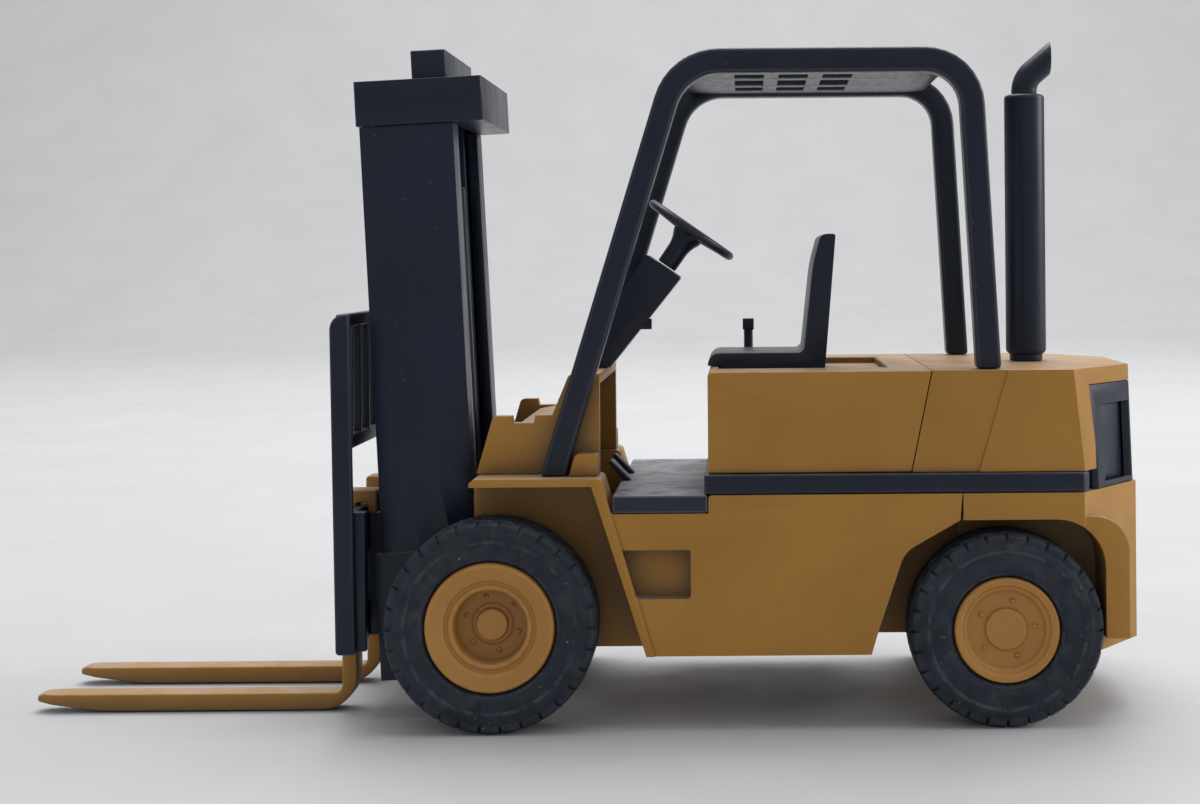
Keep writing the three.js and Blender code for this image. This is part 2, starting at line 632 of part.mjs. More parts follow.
for (const [sign, side] of SIDES) {
  const { front, rear, half, depth, bottom } = OUTER_RAIL;
  const foot = block([front - 0.8, front + 0.5], span(sign, half - depth, half), [bottom, 10.0]);
  const lug = sideSlab([
    [rear - 1.0, TILT_EYE.z - 1.9], [TILT_EYE.x + 1.5, TILT_EYE.z - 1.9, 1.4],
    [TILT_EYE.x + 1.5, TILT_EYE.z + 1.9, 1.4], [rear - 1.0, TILT_EYE.z + 1.9],
  ], ...span(sign, 9.2, 10.1));
  const boot = block([front - 0.8, -4.5], span(sign, half - 0.5, half + 1.3), [bottom, 10.0]);
  const cuts = [
    rodY(0, 0, MAST_PIVOT.radius + PLAY, ...span(sign, 10, 13)),
    rodY(TILT_EYE.x, TILT_EYE.z, 0.7 + PLAY, ...span(sign, 8, 11), 12),
  ];
  const rail = shaped([channel(OUTER_RAIL, sign), foot, boot, lug], cuts);
  add(`outer_rail_${side}`, 'plastic', rail, mast);
}

const CROSSHEAD = { front: -9.9, rear: 6.9, half: 12.75, bottom: 66.1, top: 72.0 };
const crossheadRing = shaped(
  [block([CROSSHEAD.front, CROSSHEAD.rear], [-CROSSHEAD.half, CROSSHEAD.half],
    [CROSSHEAD.bottom, CROSSHEAD.top])],
  [block([-8.2, 2.4], [-11.4, 11.4], [60, 80])],
);
add('outer_crosshead', 'plastic', crossheadRing, mast);

const lowerTie = shaped([
  block([2.9, 4.1], [-12.2, 12.2], [-6.4, -1.9]),
  block([-3.0, 3.0], [-3.0, 3.0], [-6.4, -5.2]),
]);
add('outer_lower_tie', 'plastic', lowerTie, mast);

const BARREL = { outer: 2.2, bore: 1.35, bottom: -5.1, top: 58.0 };
const barrel = turned([
  [0, BARREL.bottom], [BARREL.outer, BARREL.bottom], [BARREL.outer, BARREL.top],
  [BARREL.bore, BARREL.top], [BARREL.bore, -3.5], [0, -3.5],
], 20).rotateX(Math.PI / 2).translate(LIFT_X, 0, 0);
add('lift_barrel', 'plastic', shaped([barrel]), mast);
add('lift_rod', 'steel', rodZ(LIFT_X, 0, 1.0, -2.5, INNER_RAIL.top, 16), mast);

for (const [sign, side] of SIDES) {
  add(`inner_rail_${side}`, 'plastic', channel(INNER_RAIL, sign), mast);
}
const innerTop = INNER_RAIL.top + SEAM;
add('inner_crosshead', 'plastic', block([-2.5, 2.1], [-11.1, 11.1], [innerTop, 75.9]), mast);

const innerTie = shaped([
  block([2.4, 3.3], [-7.8, 7.8], [-1.4, 0.8]),
  ...SIDES.map(([sign]) => block([1.2, 2.6], span(sign, 7.0, 7.8), [-1.4, 0.8])),
]);
add('inner_lower_tie', 'plastic', innerTie, mast);

// ---------------------------------------------------------------- tilt cylinders

mast.updateMatrixWorld(true);
const eye = new THREE.Vector3(TILT_EYE.x, 0, TILT_EYE.z).applyMatrix4(mast.matrixWorld);
const tiltRun = new THREE.Vector2(TILT_MOUNT.x - eye.x, TILT_MOUNT.z - eye.z);
const tiltLength = tiltRun.length();
const alongTilt = (d) => [
  eye.x + (tiltRun.x * d) / tiltLength,
  eye.z + (tiltRun.y * d) / tiltLength,
];

for (const [sign, side] of SIDES) {
  const y = sign * TILT_Y;
  const tube = rodBetween(alongTilt(7.0), alongTilt(16.6), y, 1.75);
  const tail = rodBetween(alongTilt(16.0), alongTilt(tiltLength - 0.2), y, 1.1, 12);
  const bore = rodBetween(alongTilt(6.0), alongTilt(15.8), y, 0.85 + PLAY, 16);
  add(`tilt_barrel_${side}`, 'plastic', shaped([tube, tail], [bore]));
  const rod = shaped([
    rodBetween(alongTilt(0.6), alongTilt(12.8), y, 0.85, 12),
    rodY(eye.x, eye.z, 1.4, ...span(sign, 10.4, 11.7), 16),
    rodY(eye.x, eye.z, 0.7, ...span(sign, 9.1, 11.0), 12),
  ]);
  add(`tilt_rod_${side}`, 'steel', rod);
}

// ---------------------------------------------------------------- carriage and forks

function carriage() {
  const { front, rear, half, upperTop, lowerBottom } = CARRIAGE;
  const joined = [
    block([front, rear], [-half, half], [21.0, upperTop]),
    block([front, rear], [-half, half], [lowerBottom, 14.5]),
  ];
  for (const [sign] of SIDES) {
    joined.push(block([front, -27.9], span(sign, 14.6, half), [lowerBottom, upperTop]));
    const arm = span(sign, 5.0, 6.7);
    joined.push(block([rear - 0.5, -17.8], arm, [lowerBottom + 0.1, 26.0]));
    for (const z of [-1.0, 9.5]) {
      const shoe = block([-6.2, -0.5], span(sign, 6.0, 9.3), [z, z + 3.6]);
      joined.push(shoe.applyMatrix4(mast.matrixWorld));
    }
  }
  return shaped(joined);
}

add('carriage', 'plastic', carriage());

function loadBackrest() {
  const { half } = CARRIAGE;
  const bar = [-31.4, -30.2];
  const joined = [
    block(bar, [-half - 0.4, half + 0.4], [35.3, 37.2]),
    block(bar, [-half - 0.4, half + 0.4], [51.3, 53.1]),
  ];
  for (const [sign] of SIDES) {
    const plateSide = [[-31.6, 9.2, 0.5], [-29.0, 9.2, 0.5], [-29.5, 53.1, 0.5], [-32.1, 53.1, 2]];
    joined.push(sideSlab(plateSide, ...span(sign, half + SEAM, half + 1.1)));
  }
  for (let i = 0; i < 6; i += 1) {
    const y = (i - 2.5) * 4.95;
    joined.push(block([-31.4, -30.2], [y - 0.5, y + 0.5], [36, 52]));
  }
  return shaped(joined);
}

add('load_backrest', 'plastic', loadBackrest());

function fork(sign) {
  const { tip, shankFront, shankRear, y, width } = FORK;
  const side = [
    [tip, 1.4, 0.3], [tip + 8.5, 0.2, 2], [shankRear, 0.2, 4.6], [shankRear, 27.7],
    [-29.0, 27.7], [-29.0, 26.4], [-27.8, 26.4], [-27.8, 29.4, 0.5], [shankFront, 29.4, 0.5],
    [shankFront, 2.5, 1], [tip + 0.8, 2.5], [tip, 2.2],
  ];
  const bar = sideSlab(side, ...span(sign, y - width / 2, y + width / 2));
  const corners = [-1, 1].map((edge) => {
    const yEdge = sign * y + (edge * width) / 2;
    const plan = [[tip - 1, yEdge - edge * 1.1], [tip - 1, yEdge + edge], [tip + 2.2, yEdge]];
    return planSlab(plan, -1, 4);
  });
  return shaped([bar], corners);
}

for (const [sign, side] of SIDES) add(`fork_${side}`, 'paint', fork(sign));

export default truck;
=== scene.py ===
"""Looks of the toy forklift: rounded castings, moulded plastic, treaded tyres and turned rims.

The CAD nodes are the frame. Castings, the seat and other boxy parts are shown as copies with
worked edges. Tyres, rims, guard roof, load backrest, exhaust and steering wheel are built here
and replace their nodes. Lengths are in mm unless a name ends in _m or they belong to the studio.
"""

import json
import math
from collections import namedtuple

import bmesh
import bpy
from mathutils import Matrix, Vector


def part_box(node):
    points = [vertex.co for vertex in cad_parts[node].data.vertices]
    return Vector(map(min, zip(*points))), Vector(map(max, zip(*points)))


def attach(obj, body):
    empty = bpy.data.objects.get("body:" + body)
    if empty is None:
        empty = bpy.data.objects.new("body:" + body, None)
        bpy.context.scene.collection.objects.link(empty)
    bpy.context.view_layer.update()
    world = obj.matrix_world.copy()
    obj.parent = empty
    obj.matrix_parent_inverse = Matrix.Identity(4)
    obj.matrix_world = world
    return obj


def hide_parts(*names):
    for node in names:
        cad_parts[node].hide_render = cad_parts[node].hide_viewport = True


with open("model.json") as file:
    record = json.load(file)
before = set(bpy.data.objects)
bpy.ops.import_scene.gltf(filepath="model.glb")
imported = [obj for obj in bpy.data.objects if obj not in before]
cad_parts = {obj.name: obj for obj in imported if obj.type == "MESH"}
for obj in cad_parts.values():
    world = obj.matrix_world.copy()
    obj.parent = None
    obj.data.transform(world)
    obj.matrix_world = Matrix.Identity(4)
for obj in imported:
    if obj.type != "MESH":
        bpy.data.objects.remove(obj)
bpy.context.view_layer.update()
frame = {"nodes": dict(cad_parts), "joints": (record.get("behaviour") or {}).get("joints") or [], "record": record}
nodes = frame["nodes"]

MM = 0.001
TURN = 2 * math.pi
SIDES = ((-1, "left"), (1, "right"))

body_of_node = {
    node: body
    for body, members in frame["record"]["behaviour"]["bodies"].items()
    for node in members
}
slot_of_node = {part["node"]: part["material_slot"] for part in frame["record"]["subparts"]}


# ---------------------------------------------------------------- node materials

WORN_EDGE = "worn_edge"     # face attribute that mark_worn_edges writes
MIDDLE = (0.3, 0.7)         # the span of noise over most of a surface
SPECK_EDGE = 0.05           # the span of noise over which a speck fades out
HIDDEN_TO_OPEN = (0.35, 0.85)       # ambient occlusion deep in a recess and outside it
OCCLUSION_RAYS = 6

# Pale grey of dust; on plastic tops it also serves as a painted highlight.
DUST_AND_SHEEN = (0.44, 0.41, 0.375)
# Dark brown of the painted shade deep in arches and pockets.
RECESS_SHADE = (0.075, 0.055, 0.038)
RUBBED_BLACK = (0.045, 0.048, 0.056)
RUBBED_RUBBER = (0.060, 0.062, 0.067)
BRIGHT_STEEL = (0.56, 0.56, 0.57)
TARNISHED_STEEL = (0.38, 0.37, 0.36)


def shade(colour, factor):
    return tuple(channel * factor for channel in colour)


class Shader:
    """One node material, with short calls for the nodes it is made of."""

    def __init__(self, name):
        self.material = bpy.data.materials.new(name)
        self.material.use_nodes = True
        self.tree = self.material.node_tree
        self.bsdf = self.tree.nodes["Principled BSDF"]
        coordinates = self.node("ShaderNodeTexCoord").outputs["Object"]
        mapping = self.node("ShaderNodeMapping")
        mapping.inputs["Scale"].default_value = (1 / MM,) * 3
        self.link(coordinates, mapping.inputs["Vector"])
        self.millimetres = mapping.outputs["Vector"]
        self.geometry = self.node("ShaderNodeNewGeometry")

    def node(self, kind):
        return self.tree.nodes.new(kind)

    def link(self, output, socket):
        self.tree.links.new(output, socket)

    def noise(self, per_mm, detail=3.0, roughness=0.55, stretch=None):
        """Noise of per_mm waves to the mm. Stretch multiplies that for each axis."""
        noise = self.node("ShaderNodeTexNoise")
        noise.inputs["Scale"].default_value = per_mm
        noise.inputs["Detail"].default_value = detail
        noise.inputs["Roughness"].default_value = roughness
        vector = self.millimetres
        if stretch:
            mapping = self.node("ShaderNodeMapping")
            mapping.inputs["Scale"].default_value = stretch
            self.link(vector, mapping.inputs["Vector"])
            vector = mapping.outputs["Vector"]
        self.link(vector, noise.inputs["Vector"])
        return noise.outputs["Fac"]

    def ramp(self, value, low, high, to_low=0.0, to_high=1.0):
        """Value mapped from low..high to to_low..to_high, and clamped."""
        node = self.node("ShaderNodeMapRange")
        node.interpolation_type = "SMOOTHSTEP"
        for name, number in (
            ("From Min", low),
            ("From Max", high),
            ("To Min", to_low),
            ("To Max", to_high),
        ):
            node.inputs[name].default_value = number
        self.link(value, node.inputs["Value"])
        return node.outputs["Result"]

    def varied(self, per_mm, detail=3.0, to_low=0.0, to_high=1.0):
        """Noise that drifts smoothly between to_low and to_high."""
        return self.ramp(self.noise(per_mm, detail), *MIDDLE, to_low, to_high)

    def times(self, a, b):
        """Output a multiplied by b, an output or a number."""
        node = self.node("ShaderNodeMath")
        node.operation = "MULTIPLY"
        self.link(a, node.inputs[0])
        if isinstance(b, float):
            node.inputs[1].default_value = b
        else:
            self.link(b, node.inputs[1])
        return node.outputs["Value"]

    def mix(self, factor, a, b):
        """Colour a where factor is 0, b where it is 1. a and b are colours or outputs."""
        node = self.node("ShaderNodeMix")
        node.data_type = "RGBA"
        self.link(factor, node.inputs["Factor"])
        for socket, colour in ((node.inputs["A"], a), (node.inputs["B"], b)):
            if isinstance(colour, tuple):
                socket.default_value = (*colour, 1.0)
            else:
                self.link(colour, socket)
        return node.outputs["Result"]

    def blend(self, factor, a, b):
        """Number a where factor is 0, b where it is 1. a and b are numbers or outputs."""
        node = self.node("ShaderNodeMix")
        self.link(factor, node.inputs["Factor"])
        for socket, value in ((node.inputs["A"], a), (node.inputs["B"], b)):
            if isinstance(value, float):
                socket.default_value = value
            else:
                self.link(value, socket)
        return node.outputs["Result"]

    def uneven(self, base, darker, lighter, per_mm, detail=3.0):
        """A colour that drifts between a darker and a lighter shade of base."""
        return self.mix(self.varied(per_mm, detail), shade(base, darker), shade(base, lighter))

    def speckled(self, colour, per_mm, detail, threshold, strength):
        """The colour with specks of dust, which are fewer for a higher threshold."""
        specks = self.ramp(self.noise(per_mm, detail), threshold, threshold + SPECK_EDGE)
        return self.mix(self.times(specks, strength), colour, DUST_AND_SHEEN)

    def upward(self, low=0.45, high=0.95):
        """0 where the surface's upward slant is below low, 1 where it is above high."""
        split = self.node("ShaderNodeSeparateXYZ")
        self.link(self.geometry.outputs["Normal"], split.inputs["Vector"])
        return self.ramp(split.outputs["Z"], low, high)

    def recesses(self, reach):
        """1 deep inside arches and pockets, where shade is painted, 0 in the open. Reach is in mm."""
        node = self.node("ShaderNodeAmbientOcclusion")
        node.samples = OCCLUSION_RAYS
        node.inputs["Distance"].default_value = reach * MM
        return self.ramp(node.outputs["AO"], *HIDDEN_TO_OPEN, 1.0, 0.0)

    def edges(self):
        """1 on the narrow faces of rounded-over edges, 0 on open faces."""
        attribute = self.node("ShaderNodeAttribute")
        attribute.attribute_name = WORN_EDGE
        return attribute.outputs["Fac"]

    def bump(self, heights):
        """Stacks (height, depth in mm) pairs into the shader's normal."""
        previous = None
        for height, depth in heights:
            node = self.node("ShaderNodeBump")
            node.inputs["Distance"].default_value = depth * MM
            self.link(height, node.inputs["Height"])
            if previous:
                self.link(previous, node.inputs["Normal"])
            previous = node.outputs["Normal"]
        self.link(previous, self.bsdf.inputs["Normal"])

    def finish(self, colour, roughness, specular=0.5):
        """Puts the finished outputs on the shader and returns the material."""
        self.link(colour, self.bsdf.inputs["Base Color"])
        self.link(roughness, self.bsdf.inputs["Roughness"])
        self.bsdf.inputs["Specular IOR Level"].default_value = specular
        return self.material


def enamel(name, base, rough, dust, recess_shade):
    """Satin enamel on a casting: uneven coat, rubbed edges, dust where it can settle, and painted shade deep in
    recesses.
    """
    s = Shader(name)
    coat = s.uneven(base, 0.93, 1.06, 0.06)
    mottled = s.mix(s.times(s.ramp(s.noise(0.7, 5), 0.45, 0.8), 0.12), coat, shade(base, 0.88))
    worn = s.times(s.edges(), s.ramp(s.noise(0.7, 4), 0.35, 0.6))
    rubbed = s.mix(s.times(worn, 0.45), mottled, shade(base, 1.4))
    pale_on_top = s.times(s.upward(), s.ramp(s.noise(0.25, 5), 0.25, 0.75, 0.4, 1.0))
    # Painted shade: deep in arches and pockets the coat darkens toward a dark brown.
    shaded_in_recesses = s.mix(s.times(s.recesses(9.0), recess_shade), rubbed, RECESS_SHADE)
    paled = s.mix(s.times(pale_on_top, dust), shaded_in_recesses, DUST_AND_SHEEN)
    colour = s.speckled(paled, 2.2, 2, 0.73, 0.35)
    roughness = s.varied(0.35, 4, rough - 0.06, rough + 0.08)
    s.bump([(s.noise(0.22, 2), 0.05), (s.noise(2.6, 2), 0.012)])
    return s.finish(colour, roughness, 0.3)


def plastic(name, base, rough, grain=0.01):
    """Satin moulded plastic: slight sinks, fine grain, pale rubbed edges, a veil of dust, and a painted highlight
    on upward faces.
    """
    s = Shader(name)
    body = s.uneven(base, 0.85, 1.2, 0.08)
    rubbed = s.mix(s.times(s.edges(), 0.45), body, RUBBED_BLACK)
    # Upward faces go paler: partly a veil of dust, partly a painted highlight on the tops.
    pale_on_top = s.times(s.upward(), s.ramp(s.noise(0.3, 5), 0.3, 0.75, 0.35, 1.0))
    paled = s.mix(s.times(pale_on_top, 0.18), rubbed, DUST_AND_SHEEN)
    colour = s.speckled(paled, 1.9, 2, 0.74, 0.22)
    scratched = s.ramp(s.noise(0.8, 6, 0.7, stretch=(1, 1, 0.12)), 0.35, 0.7)
    roughness = s.blend(scratched, rough - 0.05, rough + 0.1)
    s.bump([(s.noise(0.12, 2), 0.05), (s.noise(3.2, 2), grain)])
    return s.finish(colour, roughness, 0.34)


def rubber(name, base):
    """Soft tyre rubber: matt, with dust caught in the tread and specks on its edges."""
    s = Shader(name)
    body = s.uneven(base, 0.8, 1.25, 0.2, 4)
    rubbing = s.times(s.edges(), s.ramp(s.noise(0.6), 0.40, 0.62))
    scuffed = s.mix(rubbing, body, RUBBED_RUBBER)
    caught = s.ramp(s.noise(0.35, 5, 0.65), 0.5, 0.75)
    paled = s.mix(s.times(caught, 0.05), scuffed, DUST_AND_SHEEN)
    colour = s.speckled(paled, 1.5, 3, 0.7, 0.35)
    roughness = s.varied(0.5, 3, 0.58, 0.8)
    s.bump([(s.noise(0.5, 3), 0.05), (s.noise(4.5, 2), 0.02)])
    return s.finish(colour, roughness, 0.4)


def scuffed_mat(name, base, top):
    """Black plastic whose top has been rubbed and scratched grey."""
    s = Shader(name)
    streaks = s.noise(0.5, 6, 0.7, stretch=(0.35, 1.6, 1))
    patches = s.ramp(s.noise(0.22, 5, 0.7), 0.35, 0.6, 0.35, 1.0)
    scratches = s.times(s.ramp(streaks, 0.25, 0.6, 0.45, 1.0), patches)
    scuffs = s.times(s.upward(0.7, 0.95), scratches)
    body = s.uneven(base, 0.85, 1.2, 0.1)
    rubbed = s.mix(s.times(s.edges(), 0.2), body, top)
    colour = s.mix(scuffs, rubbed, top)
    roughness = s.ramp(streaks, *MIDDLE, 0.4, 0.62)
    s.bump([(streaks, 0.04), (s.noise(3.0, 3), 0.015)])
    return s.finish(colour, roughness)


def steel(name):
    """Turned steel: fine lines round the bar and a little tarnish."""
    s = Shader(name)
    colour = s.mix(s.ramp(s.noise(0.4, 4), 0.35, 0.7), BRIGHT_STEEL, TARNISHED_STEEL)
    roughness = s.ramp(s.noise(1.2, 4, stretch=(1, 1, 4)), *MIDDLE, 0.22, 0.42)
    s.bump([(s.noise(2.5, 3, stretch=(1, 1, 5)), 0.01)])
    s.bsdf.inputs["Metallic"].default_value = 1.0
    return s.finish(colour, roughness)


def paper(name, base):
    """Pale studio floor with faint marks."""
    s = Shader(name)
    colour = s.uneven(base, 0.975, 1.02, 0.02, 5)
    marks = s.ramp(s.noise(0.35, 4), 0.68, 0.76)
    marked = s.mix(s.times(marks, 0.10), colour, shade(base, 0.7))
    s.bump([(s.noise(0.8, 3), 0.02)])
    return s.finish(marked, s.varied(0.1, 3.0, 0.5, 0.62), 0.3)


OCHRE = (0.37, 0.180, 0.030)
ORANGE_OCHRE = (0.42, 0.203, 0.050)
BLUE_BLACK = (0.0032, 0.0072, 0.0215)
RUBBER_BLACK = (0.011, 0.0165, 0.027)
SCUFFED_GREY = (0.27, 0.275, 0.295)

FINISHES = {
    "body_paint": enamel("body_paint_look", OCHRE, 0.46, dust=0.45, recess_shade=0.75),
    "wheel_paint": enamel("wheel_paint_look", ORANGE_OCHRE, 0.5, dust=0.08, recess_shade=0.3),
    "black_plastic": plastic("black_plastic_look", BLUE_BLACK, 0.38),
    "mast_black": plastic("mast_black_look", shade(BLUE_BLACK, 1.05), 0.34, grain=0.012),
    "floor_mat": scuffed_mat("floor_mat_look", BLUE_BLACK, SCUFFED_GREY),
    "rubber": rubber("rubber_look", RUBBER_BLACK),
    "steel": steel("steel_look"),
}


# ---------------------------------------------------------------- mesh helpers

WELD = 0.002                # points closer than this become one
FLAT = math.radians(0.5)    # faces that turn by less than this become one
TURNING_FROM = 0.7          # radians to the mm from which an edge counts as worn
TURNING_SPAN = 1.5          # how much more makes it fully worn
CLOSEST_FACES = 0.02        # keeps slivers from counting as sharp edges


def box_mm(node):
    """The lowest and highest corner of a CAD node."""
    return [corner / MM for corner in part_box(node)]


def new_object(name, data):
    made = bpy.data.objects.new(name, data)
    bpy.context.scene.collection.objects.link(made)
    return made


def mark_worn_edges(mesh):
    """Stores on each face how sharply the surface turns outwards there, from 0 to 1."""
    bm = bmesh.new()
    bm.from_mesh(mesh)
    worn = []
    for face in bm.faces:
        centre = face.calc_center_median()
        turning = 0.0
        for edge in face.edges:
            if len(edge.link_faces) == 2:
                other = next(f for f in edge.link_faces if f != face)
                apart = (other.calc_center_median() - centre).length / MM
                angle = edge.calc_face_angle_signed(0.0)
                turning = max(turning, angle / max(apart, CLOSEST_FACES))
        worn.append(min(max((turning - TURNING_FROM) / TURNING_SPAN, 0.0), 1.0))
    bm.free()
    attribute = mesh.attributes.new(WORN_EDGE, "FLOAT", "FACE")
    attribute.data.foreach_set("value", worn)


def show(piece, node, smooth_angle=32):
    """The piece stands for a CAD node, with the same body and finish."""
    mesh = piece.data
    mesh.materials.clear()
    mesh.materials.append(FINISHES[slot_of_node[node]])
    mark_worn_edges(mesh)
    mesh.shade_smooth()
    mesh.set_sharp_from_angle(angle=math.radians(smooth_angle))
    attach(piece, body_of_node[node])
    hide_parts(node)


def bevel(piece, width, segments=3, angle=30):
    """Rounds over every edge that turns by more than angle, in degrees."""
    modifier = piece.modifiers.new("worked_edges", "BEVEL")
    modifier.width = width * MM
    modifier.segments = segments
    modifier.limit_method = "ANGLE"
    modifier.angle_limit = math.radians(angle)
    modifier.miter_outer = "MITER_ARC"
    bpy.context.view_layer.update()
    evaluated = piece.evaluated_get(bpy.context.evaluated_depsgraph_get())
    mesh = bpy.data.meshes.new_from_object(evaluated)
    piece.modifiers.clear()
    piece.data = mesh


# Nodes with openings through flat faces, which have to stay in triangles.
PIERCED = {
    "grille_core", "carriage", "radiator_grille", "outer_crosshead", "rear_cowl", "base_plate",
}


def worked(node, width):
    """A copy of a CAD node with its edges rounded over, as a casting or moulding has them."""
    mesh = nodes[node].data.copy()
    bm = bmesh.new()
    bm.from_mesh(mesh)
    bmesh.ops.remove_doubles(bm, verts=bm.verts, dist=WELD * MM)
    if node not in PIERCED:
        bmesh.ops.dissolve_limit(
            bm, angle_limit=FLAT, verts=bm.verts, edges=bm.edges
        )
    bmesh.ops.recalc_face_normals(bm, faces=bm.faces)
    bm.to_mesh(mesh)
    bm.free()
    piece = new_object(f"{node}_worked", mesh)
    bevel(piece, width)
    show(piece, node)


def rounded(corners, steps=6, closed=True):
    """Points of an outline whose corners (a, b, reach) are rounded by circular arcs.

    Each arc starts and ends at a distance of reach from its corner.
    """
    points = []
    count = len(corners)
    for i, (a, b, reach) in enumerate(corners):
        corner = Vector((a, b))
        inner = closed or 0 < i < count - 1
        if reach == 0 or not inner:
            points.append(corner)
            continue
        before = Vector(corners[i - 1][:2]) - corner
        after = Vector(corners[(i + 1) % count][:2]) - corner
        enter = corner + before.normalized() * reach
        leave = corner + after.normalized() * reach
        # With this weight on the corner, the rational curve is a circular arc.
        weight = (leave - enter).length / (2 * reach)
        for step in range(steps + 1):
            t = step / steps
            first, second, third = (1 - t) ** 2, 2 * weight * t * (1 - t), t**2
            point = enter * first + corner * second + leave * third
            points.append(point / (first + second + third))
    return points


def mirrored(profile, side):
    """A profile that runs outwards, turned to the given side of the truck."""
    return [(radius, side * along) for radius, along in profile]


def dome(radius, height, rise, steps=5):
    """Profile of a round cap, from its rim up to its middle."""
    angles = [math.pi / 2 * k / steps for k in range(steps)]
    cap = [(radius * math.cos(t), height + rise * math.sin(t)) for t in angles]
    return cap + [(0.0, height + rise)]


def lathe(bm, profile, centre, segments, axis="Y"):
    """Turns an open profile of (radius, along) points about an axis through centre."""
    rings = []
    for radius, along in profile:
        ring = []
        for i in range(segments if radius else 1):
            angle = TURN * i / segments
            u, v = radius * math.cos(angle), radius * math.sin(angle)
            offset = Vector((u, along, v)) if axis == "Y" else Vector((u, v, along))
            ring.append(bm.verts.new((centre + offset) * MM))
        rings.append(ring)
    for low, high in zip(rings, rings[1:]):
        for i in range(segments):
            j = (i + 1) % segments
            corners = (
                low[i % len(low)], low[j % len(low)], high[j % len(high)], high[i % len(high)],
            )
            unique = list(dict.fromkeys(corners))
            if len(unique) > 2:
                bm.faces.new(unique)


def tube(bm, path, radius, segments):
    """Sweeps a circle along path, a list of points in the XZ plane. Returns the rings."""
    rings = []
    for i, point in enumerate(path):
        ahead = path[min(i + 1, len(path) - 1)] - path[max(i - 1, 0)]
        side = Vector((0, 1, 0))
        up = side.cross(ahead).normalized()
        rings.append([
            bm.verts.new((point + (side * math.cos(a) + up * math.sin(a)) * radius) * MM)
            for a in (TURN * k / segments for k in range(segments))
        ])
    for low, high in zip(rings, rings[1:]):
        for i in range(segments):
            j = (i + 1) % segments
            bm.faces.new((low[i], low[j], high[j], high[i]))
    return rings


def block(bm, x, y, z):
    """A box between pairs of limits. Returns its corners."""
    size = Vector((x[1] - x[0], y[1] - y[0], z[1] - z[0]))
    middle = Vector((x[0] + x[1], y[0] + y[1], z[0] + z[1])) / 2
    made = bmesh.ops.create_cube(bm, size=1.0)
    for vert in made["verts"]:
        vert.co = Vector(c * s for c, s in zip(vert.co, size)) * MM + middle * MM
    return made["verts"]


def piece_from(bm, name):
    """Ends the bmesh and returns it as an object."""
    bmesh.ops.recalc_face_normals(bm, faces=bm.faces)
    mesh = bpy.data.meshes.new(name)
    bm.to_mesh(mesh)
    bm.free()
    return new_object(name, mesh)


# ---------------------------------------------------------------- castings and mouldings

# How far the edges of each node are rounded over.
WORKED = {
    0.18: ["chassis_body", "counterweight", "engine_hood", "rear_cowl"],
    0.25: ["dash_cowl", "fork_left", "fork_right", "belt_band", "floor_plate"],
    0.45: ["guard_hoop_left", "guard_hoop_right"],
    0.30: ["steering_column"],
    0.20: [
        "outer_crosshead", "inner_crosshead",
        "base_plate", "brake_pedal", "accelerator_pedal",
        "outer_rail_left", "outer_rail_right", "inner_rail_left", "inner_rail_right",
        "outer_lower_tie", "inner_lower_tie", "carriage",
        "rear_axle_carrier", "control_lever",
    ],
    0.10: [
        "radiator_grille", "base_screw_front", "base_screw_rear",
        "front_axle", "rear_axle", "mast_pin_left", "mast_pin_right", "lift_barrel", "lift_rod",
        "tilt_barrel_left", "tilt_barrel_right", "tilt_rod_left", "tilt_rod_right",
    ],
    0.05: ["grille_core"],
    0.90: ["seat"],
}
for width, members in WORKED.items():
    for node in members:
        worked(node, width)


# ---------------------------------------------------------------- wheels

# Tyre: outer radius, radius of the rim it sits on, its two walls and its blocks in a row.
# Rim: profile, then the circle, count, foot, radius and first angle of its lugs.
# Walls, profile and foot are measured outwards from the middle of the truck.
Wheel = namedtuple("Wheel", (
    "radius", "seat", "inner", "outer", "blocks",
    "profile", "lug_circle", "lugs", "lug_foot", "lug_radius", "first_lug",
))
WHEELS = {
    "front": Wheel(
        radius=13.5, seat=8.3, inner=14.5, outer=22.5, blocks=30,
        profile=[
            (1.6, 15.3, 0), (8.25, 15.3, 0.2), (8.25, 21.75, 0.15), (8.05, 22.15, 0.15),
            (7.75, 22.2, 0.12), (6.0, 21.75, 0.3), (5.75, 21.25, 0.15), (5.45, 21.25, 0.12),
            (5.2, 21.55, 0.2), (4.85, 21.5, 0.2), (4.6, 21.0, 0.3), (4.45, 18.7, 0.4),
            (2.7, 18.6, 0.3), (2.45, 18.95, 0.15), (2.1, 18.9, 0.1), (1.95, 19.7, 0.15),
            (0.0, 19.7, 0),
        ],
        lug_circle=3.45, lugs=6, lug_foot=18.62, lug_radius=0.34, first_lug=math.radians(43),
    ),
    "rear": Wheel(
        radius=12.4, seat=6.75, inner=13.6, outer=21.0, blocks=28,
        profile=[
            (1.8, 14.3, 0), (6.7, 14.3, 0.2), (6.7, 20.4, 0.12), (6.5, 20.75, 0.12),
            (5.75, 20.55, 0.2), (5.5, 20.1, 0.15), (5.1, 19.95, 0.12), (4.75, 19.35, 0.25),
            (2.75, 19.3, 0.12), (2.6, 19.75, 0.12), (2.35, 19.85, 0.12), (0.0, 19.85, 0),
        ],
        lug_circle=3.65, lugs=5, lug_foot=19.3, lug_radius=0.36, first_lug=math.radians(5),
    ),
}
TREAD_DEPTH = 0.36
TREAD_ROOT = 0.6            # how far the blocks reach down into the carcass
SHOULDER_SHARE = 0.16       # of the tyre's width
BLOCK_GAP = 0.3
BLOCK_STEPS = 2


def wheel_centre(node):
    """The point of a wheel's axis in the middle of the truck."""
    low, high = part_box(node)
    middle = (low + high) / 2 / MM
    return Vector((middle.x, 0, middle.z))


